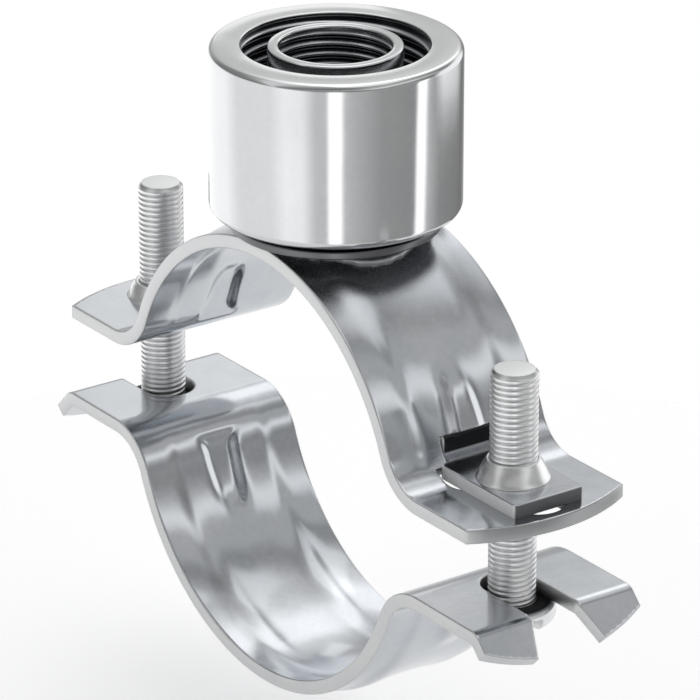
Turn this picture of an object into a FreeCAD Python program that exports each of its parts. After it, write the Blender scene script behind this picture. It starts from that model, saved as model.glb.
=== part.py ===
import FreeCAD, Part
import math
import os

# Two-screw pipe clamp: two pressed half bands, a threaded double socket on the crown,
# a hook-in nut plate and two screws. Millimetres. The origin is the pipe's centre,
# +Y runs along the pipe and +Z points at the socket.

# Sheet and seat
pipe_radius = 37.1
sheet = 2.45
band_width = 31.6
ear_gap = 14.2          # between the upper and the lower ears, as pictured
ear_bend = 8.5          # hollow side of the bend from band to ear

# Upper ears
ear_run = 18.45         # from the band's widest point to the ear's square corners
ear_bulge = 4.2         # the rounded end stands this far past the corners

# Lower ears, forked, with a lip bent down at each end
lip_start_left = 1.8    # the fold, past the corners of the upper ear
lip_start_right = 2.8
lip_angle = 45.0
lip_inner_bend = 0.45   # hollow side of the fold
lip_corner_left = 5.5   # from the fold to the lip's corners, along the lip
lip_corner_right = 3.9
lip_bulge = 4.0
fork_play = 0.7         # each side of a fork stands this far from its screw
fork_flare = 2.1        # each side of the fork opens by this much over the lip
fork_back_left = 6.2    # rounded inner ends of the forks, inwards of the screws
fork_back_right = 5.5

# Stiffening rib, pressed outwards round each half: two ridges with a shallow valley between
rib_height = 1.9        # of the ridges at the crown
rib_ridge = 8.6         # ridge line, from the middle of the band
rib_round = 1.5
ridge_run_out = 56.0    # degrees from the crown where the ridges sink into the band
valley_run_out = 39.0

# Gussets, pressed outwards at the foot of each wall, above the bend
gusset_depth = 1.8      # at the knee, outwards from the band
gusset_knee_rise = 5.45 # above the ear, where the upright face leans back towards the band
gusset_meet = 2.3       # degrees between its leaning face and the band's skin, where they meet
gusset_foot_width = 12.0
gusset_top_width = 6.0
gusset_round = 0.9

# Openings of the upper right ear
entry_play = 1.05       # the opening that the screw's head passes, wider than the head all round
entry_run = 3.45        # from the band's widest point to the centre of its round end
entry_inset = 0.95      # its straight sides start this far inwards of the band's widest point
track_play = 0.75       # each side of the slot that leads outwards stands this far from the screw
track_past_ear = 2.3    # round end of that slot, past the ear's corners
window_width = 10.8     # square window for the plate's tongue, in the wall of the band
window_rise = 5.35      # its top, above the ear

# Screws
screw_inset_left = 4.8  # inwards of the ear's corners
screw_inset_right = 8.5
screw_radius = 3.95
screw_length = 40.5
tip_chamfer = 0.7
running = 0.05
head_radius = 7.3
head_bevel = 1.5        # width of the shallow cone round the flat seat
head_rise = 0.5
head_height = 3.8
head_round = 2.0
drive_width = 1.9
drive_depth = 2.2
drive_cross = 9.0

# Drawn collars that carry the screws' threads
ear_collar_height = 3.0
ear_collar_foot = 2.05  # wall round the screw, at the foot
ear_collar_top = 0.8    # and at the top
plate_collar_height = 3.4
plate_collar_foot = 1.85
plate_collar_top = 0.55
collar_spread = 0.8     # radius of the hollow round where a collar rises from its sheet

# Nut plate
plate_inset = 0.65      # inner edge, inwards of the band's widest point
plate_past_ear = 1.1    # outer end, past the ear's corners
plate_width = 13.9
plate_thickness = 2.5
plate_round = 0.8
tongue_play = 0.3       # each side of the tongue in its window
tongue_reach = 2.5

# Socket: outer female thread, with the inner sleeve standing in it
socket_rise = 3.55      # from the plain crown of the band to the socket's underside
socket_height = 28.6
socket_floor = 5.0
socket_bore = 15.15     # 1 inch pipe thread, measured at its crests
socket_wall = 6.0
socket_top_round = 1.2
socket_foot_round = 1.6
socket_chamfer = 1.05
sleeve_bore = 9.3       # half inch pipe thread, measured at its crests
sleeve_wall = 1.95
sleeve_bore_depth = 22.0
sleeve_chamfer = 0.7
sleeve_below_rim = 0.2
neck_radius = 13.0
flange_radius = 18.0
flange_thickness = 1.5
flange_gap = 1.2
foot_radius = 13.8
weld_leg = 1.6

# Worked out
band_outer = pipe_radius + sheet
half_width = band_width / 2
ear_face = ear_gap / 2
ear_back = ear_face + sheet
ear_corner = band_outer + ear_run
screw_left = ear_corner - screw_inset_left
screw_right = ear_corner - screw_inset_right
head_land = head_radius - head_bevel
lip_bend = sheet + lip_inner_bend
lip_fold_left = ear_corner + lip_start_left
lip_fold_right = ear_corner + lip_start_right
fork_width = 2 * (screw_radius + fork_play)
fork_end_left = screw_left - fork_back_left
fork_end_right = screw_right - fork_back_right
gusset_knee = ear_back + gusset_knee_rise
entry_radius = head_radius + entry_play
entry_x = band_outer + entry_run
track_width = 2 * (screw_radius + track_play)
track_end = ear_corner + track_past_ear
window_top = ear_back + window_rise
plate_inner = band_outer - plate_inset
plate_outer = ear_corner + plate_past_ear
tongue_width = window_width - 2 * tongue_play
socket_radius = socket_bore + socket_wall
sleeve_radius = sleeve_bore + sleeve_wall
socket_bottom = band_outer + socket_rise
wall_shift = math.sqrt(2) - 1   # a wall at 45 degrees moves in by this share when its sheet moves in
big = 200.0


def vec(x, y, z):
    return FreeCAD.Vector(x, y, z)


def line(a, b):
    return Part.LineSegment(a, b).toShape()


def arc(a, middle, b):
    return Part.Arc(a, middle, b).toShape()


def face(edges):
    return Part.Face(Part.Wire(edges))


def box(x0, x1, y0, y1, z0, z1):
    return Part.makeBox(x1 - x0, y1 - y0, z1 - z0, vec(x0, y0, z0))


def along_y(radius):
    """A long round bar on the pipe's axis."""
    return Part.makeCylinder(radius, big, vec(0, -big / 2, 0), vec(0, 1, 0))


def eased(outline, rounds, steps=2):
    """An outline with some corners eased by short straight steps along an arc. Rounds maps a
    corner's number to its radius."""
    points = []
    for number, corner in enumerate(outline):
        radius = rounds.get(number)
        if not radius:
            points.append(corner)
            continue
        here = vec(*corner, 0)
        back = (vec(*outline[number - 1], 0) - here).normalize()
        ahead = (vec(*outline[(number + 1) % len(outline)], 0) - here).normalize()
        half = back.getAngle(ahead) / 2
        centre = here + (back + ahead).normalize() * (radius / math.sin(half))
        start = here + back * (radius / math.tan(half)) - centre
        end = here + ahead * (radius / math.tan(half)) - centre
        turn = math.copysign(start.getAngle(end), start.cross(end).z) / steps
        for step in range(steps + 1):
            c, s = math.cos(turn * step), math.sin(turn * step)
            points.append((centre.x + start.x * c - start.y * s, centre.y + start.x * s + start.y * c))
    return points


def turned(outline, x=0.0):
    """A solid of revolution about a vertical axis at x, from its half outline of (radius, height)."""
    points = [vec(x + r, 0, z) for r, z in outline]
    wire = Part.makePolygon(points + points[:1])
    return Part.Face(wire).revolve(vec(x, 0, 0), vec(0, 0, 1), 360)


def topmost(shape):
    """The highest of a shape's separate solids."""
    return max(shape.Solids, key=lambda solid: solid.CenterOfMass.z)


def round_edges(shape, radius, wanted):
    """Rounds the edges that the test picks."""
    return shape.makeFillet(radius, [edge for edge in shape.Edges if wanted(edge)])


# The bend between band and ear, and where it meets both
bend_z = ear_back + ear_bend
bend_x = math.sqrt((band_outer + ear_bend) ** 2 - bend_z ** 2)
bend_angle = math.atan2(bend_z, bend_x)


def bend_edges(side, sign):
    """Edges of the ear's bend on one side, inner skin then outer skin. Sign is -1 on the lower half."""
    half_turn = (bend_angle + math.pi / 2) / 2

    def on_band(radius):
        return vec(side * radius * math.cos(bend_angle), 0, sign * radius * math.sin(bend_angle))

    def on_bend(radius):
        x = bend_x - radius * math.cos(half_turn)
        return vec(side * x, 0, sign * (bend_z - radius * math.sin(half_turn)))

    skins = []
    for skin, radius, level in ((pipe_radius, ear_bend + sheet, ear_face), (band_outer, ear_bend, ear_back)):
        skins.append(arc(on_band(skin), on_bend(radius), vec(side * bend_x, 0, sign * level)))
    return skins


def band_profile(sign, right_end, left_end):
    """Cross-section of a half band. Each end is the edges that close an ear, from inner to outer skin."""
    right_inner, right_outer = bend_edges(1, sign)
    left_inner, left_outer = bend_edges(-1, sign)

    def crown(skin):
        x, z = skin * math.cos(bend_angle), skin * math.sin(bend_angle)
        return arc(vec(-x, 0, sign * z), vec(0, 0, sign * skin), vec(x, 0, sign * z))

    edges = [crown(pipe_radius), right_inner] + right_end + [right_outer, crown(band_outer), left_outer]
    return face(Part.sortEdges(edges + left_end + [left_inner])[0])


def widened(profile):
    """The cross-section run over the width of the band."""
    profile.translate(vec(0, -half_width, 0))
    return profile.extrude(vec(0, band_width, 0))


def flat_end(side):
    """A plain ear, left long for the outline to trim."""
    reach = side * (ear_corner + 2 * ear_bulge)
    inner, outer = vec(reach, 0, ear_face), vec(reach, 0, ear_back)
    start = vec(side * bend_x, 0, ear_face)
    back = vec(side * bend_x, 0, ear_back)
    return [line(start, inner), line(inner, outer), line(outer, back)]


def lip_end(side, fold, corner):
    """A lower ear with its lip bent down, left long for the lip's outline to trim."""
    angle = math.radians(lip_angle)
    start_x = fold - lip_bend * math.tan(angle / 2)
    centre_z = -ear_face - lip_bend
    reach = corner + 2 * lip_bulge

    def skin(radius):
        def at(turn, run=0.0):
            x = start_x + radius * math.sin(turn) + run * math.cos(turn)
            return vec(side * x, 0, centre_z + radius * math.cos(turn) - run * math.sin(turn))
        ear = vec(side * bend_x, 0, centre_z + radius)
        return [line(ear, at(0)), arc(at(0), at(angle / 2), at(angle)), line(at(angle), at(angle, reach))], \
            at(angle, reach)

    upper, upper_tip = skin(lip_bend)
    lower, lower_tip = skin(lip_bend - sheet)
    return upper + [line(upper_tip, lower_tip)] + lower


def ear_outline():
    """Plan of the upper half: square at the band, with a bowed end on each ear."""
    y, x, tip = half_width, ear_corner, ear_corner + ear_bulge
    edges = [
        line(vec(-x, -y, 0), vec(x, -y, 0)), arc(vec(x, -y, 0), vec(tip, 0, 0), vec(x, y, 0)),
        line(vec(x, y, 0), vec(-x, y, 0)), arc(vec(-x, y, 0), vec(-tip, 0, 0), vec(-x, -y, 0)),
    ]
    return face(edges).extrude(vec(0, 0, big))


def lip_trimmer(side, fold, corner):
    """What lies beyond the bowed edge of a lip, square to the lip."""
    angle = math.radians(lip_angle)
    along = vec(side * math.cos(angle), 0, -math.sin(angle))
    normal = vec(side * math.sin(angle), 0, math.cos(angle))
    root = vec(side * fold, 0, -ear_face)
    y = half_width

    def at(run, across):
        return root + along * run + vec(0, across, 0) - normal * (2 * sheet)

    far = corner + 4 * lip_bulge
    wide = y + 1
    edge = corner - lip_bulge * (wide ** 2 - y ** 2) / y ** 2
    outline = [
        arc(at(edge, -wide), at(corner + lip_bulge, 0), at(edge, wide)),
        line(at(edge, wide), at(far, wide)), line(at(far, wide), at(far, -wide)),
        line(at(far, -wide), at(edge, -wide)),
    ]
    return face(outline).extrude(normal * (4 * sheet))


def fork(side, inner_end, fold):
    """The slot of a forked ear, open at the outer end and flared over the lip."""
    half = fork_width / 2
    centre = inner_end + half
    mouth = fold + lip_corner_left + 2 * lip_bulge
    flare = half + fork_flare * (mouth - fold) / (lip_corner_left + lip_bulge)

    def at(x, y):
        return vec(side * x, y, -big / 2)

    edges = [
        arc(at(centre, -half), at(inner_end, 0), at(centre, half)), line(at(centre, half), at(fold, half)),
        line(at(fold, half), at(mouth, flare)), line(at(mouth, flare), at(mouth, -flare)),
        line(at(mouth, -flare), at(fold, -half)), line(at(fold, -half), at(centre, -half)),
    ]
    return face(edges).extrude(vec(0, 0, big / 2))


# The rib's skins are rings whose common centre is moved towards the crown, so each runs out by itself
crown_gap = rib_height + band_outer * (1 - math.cos(math.radians(ridge_run_out)))
rib_shift = (rib_height ** 2 + 2 * band_outer * rib_height) / (2 * crown_gap)
ridge_ring = band_outer + rib_height - rib_shift
valley_ring = math.sqrt(band_outer ** 2 + rib_shift ** 2
                        - 2 * band_outer * rib_shift * math.cos(math.radians(valley_run_out)))


def rib_solid(depth):
    """The rib's outer skin, moved inwards by depth, filled down to well inside the pipe."""
    ridge = rib_ridge - depth * wall_shift
    top, valley = ridge_ring - depth, valley_ring - depth
    floor = top - 3 * (rib_height + sheet)
    foot = ridge + top - floor
    dip = valley + (top - valley) / 4
    outline = eased([(-foot, floor), (-ridge, top), (-ridge / 2, dip), (0, valley), (ridge / 2, dip),
                     (ridge, top), (foot, floor)], {1: rib_round, 5: rib_round})
    centre, axis = vec(0, 0, rib_shift), vec(0, 1, 0)
    points = [vec(0, y, rib_shift + ring) for y, ring in outline]
    section = Part.Face(Part.makePolygon(points + points[:1]))
    section.rotate(centre, axis, -ridge_run_out - 6)
    return section.revolve(centre, axis, 2 * (ridge_run_out + 6))


# The gusset's leaning face runs from its knee up to the band's outer skin
knee_x = math.sqrt(band_outer ** 2 - gusset_knee ** 2) + gusset_depth
meet = math.radians(gusset_meet)
short = band_outer * math.sin(meet)
lean_run = math.sqrt(short ** 2 + knee_x ** 2 + gusset_knee ** 2 - band_outer ** 2) - short
lean_turn = math.atan2(lean_run * math.cos(meet), band_outer + lean_run * math.sin(meet))
top_angle = math.atan2(gusset_knee, knee_x) + lean_turn
gusset_top = band_outer * math.sin(top_angle)


def gusset_solid(depth):
    """The right gusset's outer skin, moved inwards by depth, filled back to inside the pipe."""
    slope = top_angle + meet
    upright = knee_x - depth
    knee = gusset_knee - depth * math.tan(slope / 2)
    root, low, high = pipe_radius / 2, ear_face + sheet / 2, gusset_top + sheet / 2
    side_view = Part.Face(Part.makePolygon([
        vec(root, 0, low), vec(upright, 0, low), vec(upright, 0, knee),
        vec(upright - (high - knee) * math.tan(slope), 0, high), vec(root, 0, high), vec(root, 0, low),
    ]))
    taper = (gusset_foot_width - gusset_top_width) / 2 / (gusset_top - gusset_knee)
    foot = gusset_foot_width / 2 - depth * wall_shift
    peak = max(foot - taper * (high - knee), 0.5)
    front_view = Part.Face(Part.makePolygon([
        vec(0, -foot, low), vec(0, foot, low), vec(0, foot, knee), vec(0, peak, high),
        vec(0, -peak, high), vec(0, -foot, knee), vec(0, -foot, low),
    ]))
    gusset = widened(side_view).common(front_view.extrude(vec(big, 0, 0)))

    def long_edge(edge):
        x, z = [v.X for v in edge.Vertexes], [v.Z for v in edge.Vertexes]
        return min(x) > root + 1 and min(z) + 1 < high and max(z) > low + 1

    return round_edges(gusset, gusset_round - depth / 6, long_edge)


def pressed(half, sign):
    """Presses the rib and the two gussets into a half band. Sign is -1 on the lower half."""
    middle = sheet / 2
    core = along_y(pipe_radius + middle)
    wedge_top = vec(big, 0, big * math.tan(bend_angle))
    wedge = Part.makePolygon([vec(0, 0, 0), vec(big, 0, 0), wedge_top, vec(0, 0, 0)])
    under_bend = widened(Part.Face(wedge))
    bend_bar = Part.makeCylinder(ear_bend + middle, big, vec(bend_x, -big / 2, bend_z), vec(0, 1, 0))
    inside = core.fuse(under_bend.cut(bend_bar))
    outer, groove = rib_solid(0.0).cut(core), rib_solid(sheet)
    added, taken = gusset_solid(0.0).cut(inside), gusset_solid(sheet)
    for mirrored in (False, True):
        if mirrored:
            added = added.mirror(vec(0, 0, 0), vec(1, 0, 0))
            taken = taken.mirror(vec(0, 0, 0), vec(1, 0, 0))
        outer, groove = outer.fuse(added), groove.fuse(taken)
    if sign < 0:
        outer = outer.mirror(vec(0, 0, 0), vec(0, 0, 1))
        groove = groove.mirror(vec(0, 0, 0), vec(0, 0, 1))
    return half.fuse(outer).cut(groove)


def collar(x, base_z, height, foot_wall, top_wall):
    """A drawn collar: a steep cone that spreads into the sheet at its foot."""
    foot, top = screw_radius + foot_wall, screw_radius + top_wall
    below, above = base_z - sheet / 2, base_z + height
    outline = [(0, below), (foot, below), (foot, base_z), (foot - collar_spread, base_z),
               (top, above), (0, above)]
    return turned(eased(outline, {3: collar_spread}), x)


def screw_bore(x):
    return Part.makeCylinder(screw_radius + running, big, vec(x, 0, 0))


def upper_band():
    half = widened(band_profile(1, flat_end(1), flat_end(-1))).common(ear_outline())
    half = pressed(half, 1)
    half = half.fuse(collar(-screw_left, ear_back, ear_collar_height, ear_collar_foot, ear_collar_top))
    half = half.cut(screw_bore(-screw_left))
    track = track_width / 2
    track_centre = track_end - track
    under, over = ear_face - 1, bend_z
    entry = box(band_outer - entry_inset, entry_x, -entry_radius, entry_radius, under, over)
    entry = entry.fuse(Part.makeCylinder(entry_radius, over - under, vec(entry_x, 0, under)))
    entry = entry.fuse(Part.makeCylinder(track, over - under, vec(track_centre, 0, under)))
    entry = entry.fuse(box(entry_x, track_centre, -track, track, under, over))
    window = window_width / 2
    window_reach = 4 * sheet
    entry = entry.fuse(box(pipe_radius - window_reach, entry_x, -window, window, ear_face + 1, window_top))
    return half.cut(entry).removeSplitter()


def lower_band():
    right = lip_end(1, lip_fold_right, lip_corner_right)
    left = lip_end(-1, lip_fold_left, lip_corner_left)
    half = pressed(widened(band_profile(-1, right, left)), -1)
    half = half.cut(lip_trimmer(1, lip_fold_right, lip_corner_right))
    half = half.cut(lip_trimmer(-1, lip_fold_left, lip_corner_left))
    half = half.cut(fork(1, fork_end_right, lip_fold_right))
    return half.cut(fork(-1, fork_end_left, lip_fold_left)).removeSplitter()


def connection_socket():
    top = socket_bottom + socket_height
    floor = socket_bottom + socket_floor
    outline = [
        (sleeve_radius, socket_bottom), (socket_radius, socket_bottom), (socket_radius, top),
        (socket_bore + socket_chamfer, top), (socket_bore, top - socket_chamfer), (socket_bore, floor),
        (sleeve_radius, floor),
    ]
    return turned(eased(outline, {1: socket_foot_round, 2: socket_top_round}))


def inner_sleeve(band):
    top = socket_bottom + socket_height - sleeve_below_rim
    flange_top = socket_bottom - flange_gap
    flange_under = flange_top - flange_thickness
    body = turned([
        (0, pipe_radius), (foot_radius, pipe_radius - sheet), (foot_radius, flange_under),
        (flange_radius, flange_under), (flange_radius, flange_top), (neck_radius, flange_top),
        (neck_radius, socket_bottom), (sleeve_radius, socket_bottom), (sleeve_radius, top),
        (sleeve_bore + sleeve_chamfer, top), (sleeve_bore, top - sleeve_chamfer),
        (sleeve_bore, top - sleeve_bore_depth), (0, top - sleeve_bore_depth),
    ])
    return topmost(body.cut(band))


def socket_weld(band):
    """A bead of even size that follows the saddle between the sleeve's foot and the ribbed crown."""
    flange_under = socket_bottom - flange_gap - flange_thickness
    skin = along_y(band_outer + weld_leg).fuse(rib_solid(-weld_leg))
    skin = skin.cut(along_y(pipe_radius + sheet / 2)).cut(rib_solid(sheet))
    tube = Part.makeCylinder(foot_radius + weld_leg, flange_under, vec(0, 0, 0))
    tube = tube.cut(Part.makeCylinder(foot_radius, flange_under, vec(0, 0, 0)))
    tube = tube.common(box(-big, big, -half_width, half_width, 0, flange_under))
    return topmost(tube.common(skin).cut(band))


def nut_plate():
    half, tongue = plate_width / 2, tongue_width / 2
    top = ear_back + plate_thickness
    plate = box(plate_inner, plate_outer, -half, half, ear_back, top)
    upright = [edge for edge in plate.Edges if abs(edge.tangentAt(edge.FirstParameter).z) > 0.9]
    plate = plate.makeFillet(plate_round, upright)
    plate = plate.fuse(box(plate_inner - tongue_reach, plate_inner + 2, -tongue, tongue, ear_back, top))
    plate = plate.fuse(collar(screw_right, top, plate_collar_height, plate_collar_foot, plate_collar_top))
    return plate.cut(screw_bore(screw_right)).removeSplitter()


def screw(x):
    """A round-headed screw, head down against the lower ear, with a crossed slot in the head."""
    seat = -ear_back - running
    under = seat - head_height
    tip = seat + screw_length
    outline = [
        (0, under), (head_radius, under), (head_radius, seat - head_rise), (head_land, seat),
        (screw_radius, seat), (screw_radius, tip - tip_chamfer), (screw_radius - tip_chamfer, tip), (0, tip),
    ]
    body = turned(eased(outline, {1: head_round}), x)
    half = drive_width / 2
    slot = box(x - head_radius, x + head_radius, -half, half, under, under + drive_depth)
    cross = box(x - half, x + half, -drive_cross / 2, drive_cross / 2, under, under + drive_depth)
    return body.cut(slot).cut(cross).removeSplitter()


os.makedirs("parts", exist_ok=True)
upper = upper_band()
pieces = {
    "upper_band": upper,
    "lower_band": lower_band(),
    "connection_socket": connection_socket(),
    "inner_sleeve": inner_sleeve(upper),
    "socket_weld": socket_weld(upper),
    "nut_plate": nut_plate(),
    "left_screw": screw(-screw_left),
    "right_screw": screw(screw_right),
}
for name, shape in pieces.items():
    solid = shape.Solids[0] if len(shape.Solids) == 1 else shape
    solid.exportStep(f"parts/{name}.step")
    state = "valid" if shape.isValid() else "invalid"
    print(name, len(shape.Solids), "solid", round(shape.Volume), "mm3", state)
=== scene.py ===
import bmesh
import bpy
import math
import numpy as np
from mathutils import Matrix, Vector
from mathutils.geometry import delaunay_2d_cdt


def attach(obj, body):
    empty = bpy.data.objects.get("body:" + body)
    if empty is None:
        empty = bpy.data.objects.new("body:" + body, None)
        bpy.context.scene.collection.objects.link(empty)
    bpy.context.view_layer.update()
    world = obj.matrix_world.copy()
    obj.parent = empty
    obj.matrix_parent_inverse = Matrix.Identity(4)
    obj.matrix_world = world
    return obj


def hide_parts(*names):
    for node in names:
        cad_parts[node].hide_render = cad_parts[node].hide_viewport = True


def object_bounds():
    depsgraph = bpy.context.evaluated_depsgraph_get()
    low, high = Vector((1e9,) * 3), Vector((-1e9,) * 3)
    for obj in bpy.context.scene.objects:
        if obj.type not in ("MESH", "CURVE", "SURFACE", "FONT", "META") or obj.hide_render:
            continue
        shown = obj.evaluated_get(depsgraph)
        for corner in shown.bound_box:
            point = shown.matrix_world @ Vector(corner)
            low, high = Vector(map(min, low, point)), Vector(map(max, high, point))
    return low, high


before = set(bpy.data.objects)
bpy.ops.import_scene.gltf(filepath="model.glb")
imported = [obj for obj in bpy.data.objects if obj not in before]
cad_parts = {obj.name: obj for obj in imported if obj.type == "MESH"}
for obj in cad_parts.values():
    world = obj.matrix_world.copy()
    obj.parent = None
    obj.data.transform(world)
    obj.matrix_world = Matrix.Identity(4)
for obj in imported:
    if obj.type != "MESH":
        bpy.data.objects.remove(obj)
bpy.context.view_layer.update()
MM = 0.001


# The photographer's place: a long lens a little under a metre away, looking at the clamp
# from its right-hand ear, from above and across the pipe.
def placed(name, data):
    """A new object in the scene."""
    piece = bpy.data.objects.new(name, data)
    bpy.context.scene.collection.objects.link(piece)
    return piece


azimuth, elevation = math.radians(54.61), math.radians(22.70)
picture_px, focal_px, distance = 700, 5054.4, 853.27
centre_px = (336.07, 405.00)        # where the camera's aim falls in the picture
aim_height = 7.1
ahead = Vector((-math.sin(azimuth) * math.cos(elevation), math.cos(azimuth) * math.cos(elevation),
                -math.sin(elevation)))
rightwards = Vector((math.cos(azimuth), math.sin(azimuth), 0.0))
upwards = rightwards.cross(ahead)
across = (centre_px[0] - picture_px / 2) * distance / focal_px
down = (centre_px[1] - picture_px / 2) * distance / focal_px
stand = -distance * ahead - across * rightwards + down * upwards + Vector((0, 0, aim_height))
camera = placed("camera", bpy.data.cameras.new("camera"))
camera.data.lens = focal_px / picture_px * camera.data.sensor_width
camera.data.clip_start, camera.data.clip_end = 0.05, 20
turned = Matrix((rightwards, upwards, -ahead)).transposed().to_4x4()
camera.matrix_world = Matrix.Translation(stand * MM) @ turned
bpy.context.scene.camera = camera
bpy.context.scene.view_settings.view_transform = "Standard"


# Finish of the sheet parts: pressed steel under bright zinc, a little hazy and bluish, with the faint
# waves that pressing leaves, pale dull edges where the sheet was cut, and painted shade on the punched
# openings' edges.
class Value:
    """A number socket that takes part in Python arithmetic. Each operation adds one Math node."""

    def __init__(self, socket):
        self.socket = socket

    def math(self, operation, *others, clamp=False):
        return maths(self.socket.node.id_data, operation, (self,) + others, clamp)

    def held(self):
        """Kept between 0 and 1."""
        return self.math("MULTIPLY", 1.0, clamp=True)

    def __add__(self, other): return self.math("ADD", other)
    def __sub__(self, other): return self.math("SUBTRACT", other)
    def __mul__(self, other): return self.math("MULTIPLY", other)
    def __truediv__(self, other): return self.math("DIVIDE", other)
    def __radd__(self, other): return self.math("ADD", other)
    def __rmul__(self, other): return self.math("MULTIPLY", other)
    def __rsub__(self, other): return maths(self.socket.node.id_data, "SUBTRACT", (other, self))
    def __rtruediv__(self, other): return maths(self.socket.node.id_data, "DIVIDE", (other, self))


def maths(tree, operation, values, clamp=False):
    node = tree.nodes.new("ShaderNodeMath")
    node.operation, node.use_clamp = operation, clamp
    for slot, value in zip(node.inputs, values):
        if isinstance(value, Value):
            tree.links.new(value.socket, slot)
        else:
            slot.default_value = value
    return Value(node.outputs[0])


class Tree:
    """A node tree that is filled by one call for each node."""

    def __init__(self, tree):
        self.tree = tree

    def add(self, kind, settings=None, inputs=None, out=0):
        """Adds a node. Settings go first, then the values or links of its sockets, by name or number."""
        node = self.tree.nodes.new(kind)
        for name, setting in (settings or {}).items():
            if name == "stops":
                ramp = node.color_ramp
                while len(ramp.elements) < len(setting):
                    ramp.elements.new(0.5)
                for element, (place, colour) in zip(ramp.elements, setting):
                    element.position, element.color = place, (*colour, 1)
            else:
                setattr(node, name, setting)
        for name, value in (inputs or {}).items():
            slot = node.inputs[name]
            if isinstance(value, Value):
                self.tree.links.new(value.socket, slot)
            elif isinstance(value, tuple) and len(value) == 3 and slot.type == "RGBA":
                slot.default_value = (*value, 1)
            else:
                slot.default_value = value
        return Value(node.outputs[out]) if len(node.outputs) else node

    def mix(self, factor, a, b):
        """Blends two colours."""
        return self.add("ShaderNodeMix", {"data_type": "RGBA"}, {0: factor, 6: a, 7: b}, out=2)

    def noise(self, place, scale, detail, roughness=0.5):
        """Soft random values around a half, of about 1 / scale metres in size."""
        return self.add("ShaderNodeTexNoise", None, {"Vector": place, "Scale": scale, "Detail": detail,
                                                      "Roughness": roughness})

    def axes(self, place):
        """The x, y and z of a place, in millimetres."""
        split = self.add("ShaderNodeSeparateXYZ", None, {"Vector": place}).socket.node
        return [Value(socket) / MM for socket in split.outputs]


def metal(name, colour, other_colour, roughness, haze, waves, grain, extra=None, metallic=1.0):
    """A bright plated metal: two tones in large soft clouds, uneven gloss, faint waves and a fine grain."""
    material = bpy.data.materials.new(name)
    material.use_nodes = True
    material.node_tree.nodes.clear()
    tree = Tree(material.node_tree)
    place = tree.add("ShaderNodeTexCoord", out="Object")
    clouds, mottle = tree.noise(place, 90, 3), tree.noise(place, 900, 3, 0.6)
    cloud_share, lowest_tone, contrast = 0.65, 0.32, 2.6
    tone = ((clouds * cloud_share + mottle * (1 - cloud_share) - lowest_tone) * contrast).held()
    gloss = roughness + (clouds - 0.5) * haze + (mottle - 0.5) * haze
    height = tree.noise(place, 110, 1) * waves + tree.noise(place, 6000, 2, 0.7) * grain
    base = tree.mix(tone, colour, other_colour)
    if extra:
        base, gloss = extra(tree, place, base, gloss)
    bump = tree.add("ShaderNodeBump", None, {"Strength": 1.0, "Distance": MM, "Height": height})
    shader = tree.add("ShaderNodeBsdfPrincipled", None, {"Base Color": base, "Metallic": metallic,
                                                          "Roughness": gloss, "Normal": bump})
    tree.add("ShaderNodeOutputMaterial", None, {"Surface": shader})
    return material


def sheet_finish(tree, place, base, gloss):
    """The sheet is duller near the crown, where it was heated for the socket."""
    heat_start, heat_fade, heat_haze = 27, 8, 0.12
    _, _, z = tree.axes(place)
    return base, gloss + ((z - heat_start) / heat_fade).held() * heat_haze


def edge_with_end_shade(tree, place, base, gloss):
    """Painted shade darkens the cut edge at the end of the upper right ear, in place of the dark it reflects
    there.
    """
    end_start, end_fade, end_shade_share = 57.5, 2, 0.75
    x, _, z = tree.axes(place)
    end = ((x - end_start) / end_fade).held() * z.math("GREATER_THAN", 0.0)
    return tree.mix(end * end_shade_share, base, (0.30, 0.305, 0.31)), gloss


zinc_sheet = metal("zinc_sheet", (0.51, 0.535, 0.565), (0.60, 0.615, 0.635),
                   roughness=0.15, haze=0.07, waves=0.12, grain=0.0015, extra=sheet_finish)
zinc_edge = metal("zinc_cut_edge", (0.56, 0.57, 0.58), (0.64, 0.64, 0.64),
                  roughness=0.42, haze=0.12, waves=0.05, grain=0.006, extra=edge_with_end_shade)
# Painted shade: the punched openings' edges are nearly black, standing in for the shadow inside them.
punched_edge_shade = metal("punched_edge_painted_shade", (0.10, 0.105, 0.11), (0.18, 0.185, 0.19),
                     roughness=0.45, haze=0.12, waves=0.05, grain=0.006)


# Upper half band: one strip of 2.45 mm sheet, bent round the crown and out into two ears, with a rib
# pressed round the crown, a gusset pressed above each bend, and openings punched in the right ear.
pipe_radius, sheet = 37.1, 2.45
half_width, ear_face, bend_radius = 15.8, 7.1, 8.5
screw_left, screw_right = -53.2, 49.5
middle = sheet / 2
band_outer = pipe_radius + sheet
bend_z = ear_face + sheet + bend_radius
bend_x = math.sqrt((band_outer + bend_radius) ** 2 - bend_z ** 2)
bend_angle = math.atan2(bend_z, bend_x)
crown_run = (pipe_radius + middle) * (math.pi / 2 - bend_angle)
bend_run = (bend_radius + middle) * (math.pi / 2 - bend_angle)
ear_run = crown_run + bend_run
longest_ear = 80.0


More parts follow.
